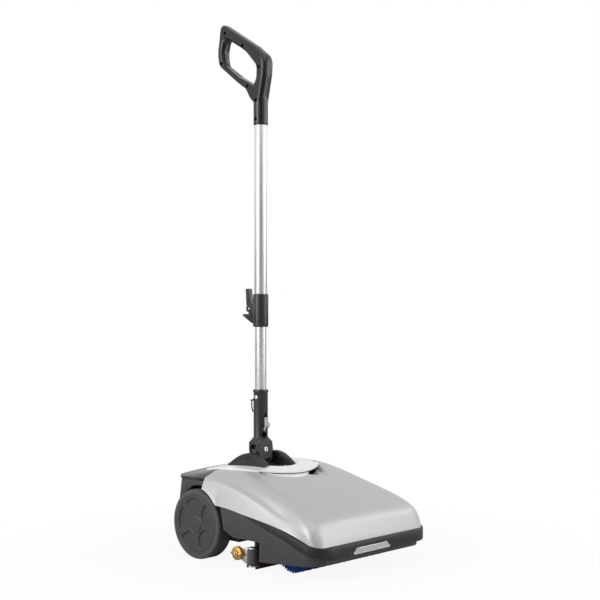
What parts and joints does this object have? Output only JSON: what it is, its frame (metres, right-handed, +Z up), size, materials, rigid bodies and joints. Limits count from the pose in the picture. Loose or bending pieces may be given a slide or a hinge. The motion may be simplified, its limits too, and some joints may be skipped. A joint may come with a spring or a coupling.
{
  "type": "wet dry floor scrubber",
  "caption": "Walk-behind wet and dry floor scrubber: domed body on rear wheels, brush roller, squeegee, folding telescopic handle with a loop grip.",
  "frame": {"origin": "on the floor, under the middle of the whole machine's box", "axes": "+Z up, -Y towards the front bumper, -X towards the machine's right side"},
  "size_m": [0.347, 0.4691, 1.1682],
  "materials": {
    "cover_silver": "satin silver",
    "collar_light": "gloss",
    "band_black": "moulded",
    "chassis_grey": "moulded",
    "cap_grey": "gloss",
    "grip_black": "gloss",
    "window_clear": "clear over silver",
    "block_light": "moulded",
    "wheel_grey": "moulded",
    "tyre_rubber": "matte",
    "tube_aluminium": "satin anodised",
    "steel": "bright",
    "brass": "machined",
    "lip_maroon": "matte",
    "bristle_blue": "fibre",
    "inner_plastic": "moulded",
    "motor_steel": "coated"
  },
  "bodies": {
    "chassis": {"chassis": "chassis_grey", "brush_bearing_right": "steel", "brush_bearing_left": "steel", "axle": "steel", "cover": "cover_silver", "bumper_band": "band_black", "front_window": "window_clear", "rear_housing": "chassis_grey", "rear_cap": "cap_grey", "charge_inlet": "cap_grey", "collar": "collar_light", "saddle": "band_black", "tilt_pin": "steel", "brush_motor": "motor_steel", "drive_belt": "band_black", "solution_tank": "inner_plastic", "recovery_tank": "inner_plastic", "fan_case": "inner_plastic", "fan_motor": "motor_steel", "water_pump": "inner_plastic", "battery_pack": "inner_plastic", "control_board": "inner_plastic", "spray_bar": "band_black"},
    "wheel_right": {"wheel_tyre_right": "tyre_rubber", "wheel_hub_right": "wheel_grey"},
    "wheel_left": {"wheel_tyre_left": "tyre_rubber", "wheel_hub_left": "wheel_grey"},
    "brush": {"brush_core": "inner_plastic", "brush_bristles": "bristle_blue", "brush_pulley": "inner_plastic"},
    "motor_pulley": {"motor_pulley": "inner_plastic"},
    "fan_wheel": {"fan_wheel": "inner_plastic"},
    "squeegee": {"squeegee_holder": "band_black", "suction_boot": "band_black", "squeegee_front_lip": "lip_maroon", "squeegee_rear_lip": "lip_maroon", "squeegee_brackets": "steel", "roller_bolts": "steel"},
    "thumb_nut_right": {"thumb_nut_right": "brass"},
    "thumb_nut_left": {"thumb_nut_left": "brass"},
    "guide_roller_right": {"guide_roller_right": "tyre_rubber"},
    "guide_roller_left": {"guide_roller_left": "tyre_rubber"},
    "power_switch": {"power_switch": "chassis_grey"},
    "joint_block": {"joint_block": "block_light"},
    "fork": {"fork": "cap_grey", "fork_bolt": "steel", "fork_nut": "steel", "lower_tube": "tube_aluminium", "lock_pin": "steel", "pin_clip": "band_black"},
    "tilt_latch": {"tilt_latch": "block_light"},
    "upper_handle": {"upper_tube": "tube_aluminium", "clamp_body": "cap_grey", "clamp_pin": "steel", "grip_right": "grip_black", "grip_left": "grip_black", "grip_screws": "steel"},
    "clamp_lever": {"clamp_lever": "cap_grey"}
  },
  "joints": [
    {"name": "wheel_right_spin", "type": "hinge", "parent": "chassis", "child": "wheel_right", "pos_m": [0, 0.1295, 0.07375], "axis": [1, 0, 0], "continuous": true},
    {"name": "wheel_left_spin", "type": "hinge", "parent": "chassis", "child": "wheel_left", "pos_m": [0, 0.1295, 0.07375], "axis": [1, 0, 0], "continuous": true},
    {"name": "brush_spin", "type": "hinge", "parent": "chassis", "child": "brush", "pos_m": [0, -0.1085, 0.048], "axis": [1, 0, 0], "continuous": true},
    {"name": "motor_pulley_spin", "type": "hinge", "parent": "chassis", "child": "motor_pulley", "pos_m": [0, -0.0305, 0.094], "axis": [1, 0, 0], "continuous": true},
    {"name": "fan_spin", "type": "hinge", "parent": "chassis", "child": "fan_wheel", "pos_m": [0.058, 0.087, 0.06], "axis": [0, 0, 1], "continuous": true},
    {"name": "squeegee_lift", "type": "slide", "parent": "chassis", "child": "squeegee", "axis": [0, 0, 1], "range_m": [0, 0.008]},
    {"name": "thumb_nut_right_turn", "type": "hinge", "parent": "squeegee", "child": "thumb_nut_right", "pos_m": [0, 0.0125, 0.028], "axis": [-1, 0, 0], "continuous": true},
    {"name": "thumb_nut_left_turn", "type": "hinge", "parent": "squeegee", "child": "thumb_nut_left", "pos_m": [0, 0.0125, 0.028], "axis": [1, 0, 0], "continuous": true},
    {"name": "guide_roller_right_spin", "type": "hinge", "parent": "squeegee", "child": "guide_roller_right", "pos_m": [-0.1615, -0.0385, 0.028], "axis": [0, 0, 1], "continuous": true},
    {"name": "guide_roller_left_spin", "type": "hinge", "parent": "squeegee", "child": "guide_roller_left", "pos_m": [0.1615, -0.0385, 0.028], "axis": [0, 0, 1], "continuous": true},
    {"name": "switch_rock", "type": "hinge", "parent": "chassis", "child": "power_switch", "pos_m": [-0.103, 0.2015, 0.142], "axis": [1, 0, 0], "range_deg": [-8, 8]},
    {"name": "handle_tilt", "type": "hinge", "parent": "chassis", "child": "joint_block", "pos_m": [0, 0.1035, 0.2], "axis": [-1, 0, 0], "range_deg": [0, 70]},
    {"name": "handle_lean", "type": "hinge", "parent": "joint_block", "child": "fork", "pos_m": [0, 0.1035, 0.2214], "axis": [0, 1, 0], "range_deg": [-25, 25]},
    {"name": "latch_lift", "type": "slide", "parent": "fork", "child": "tilt_latch", "axis": [0, 0, 1], "range_m": [0, 0.008], "stiffness_N_per_m": 200},
    {"name": "handle_telescope", "type": "slide", "parent": "fork", "child": "upper_handle", "axis": [0, 0, 1], "range_m": [-0.12, 0.1]},
    {"name": "clamp_lever_swing", "type": "hinge", "parent": "upper_handle", "child": "clamp_lever", "pos_m": [0, 0.1305, 0.529], "axis": [-1, 0, 0], "range_deg": [0, 80]}
  ],
  "couplings": [
    {"joint": "motor_pulley_spin", "follows": "brush_spin", "ratio": 2.0833}
  ]
}
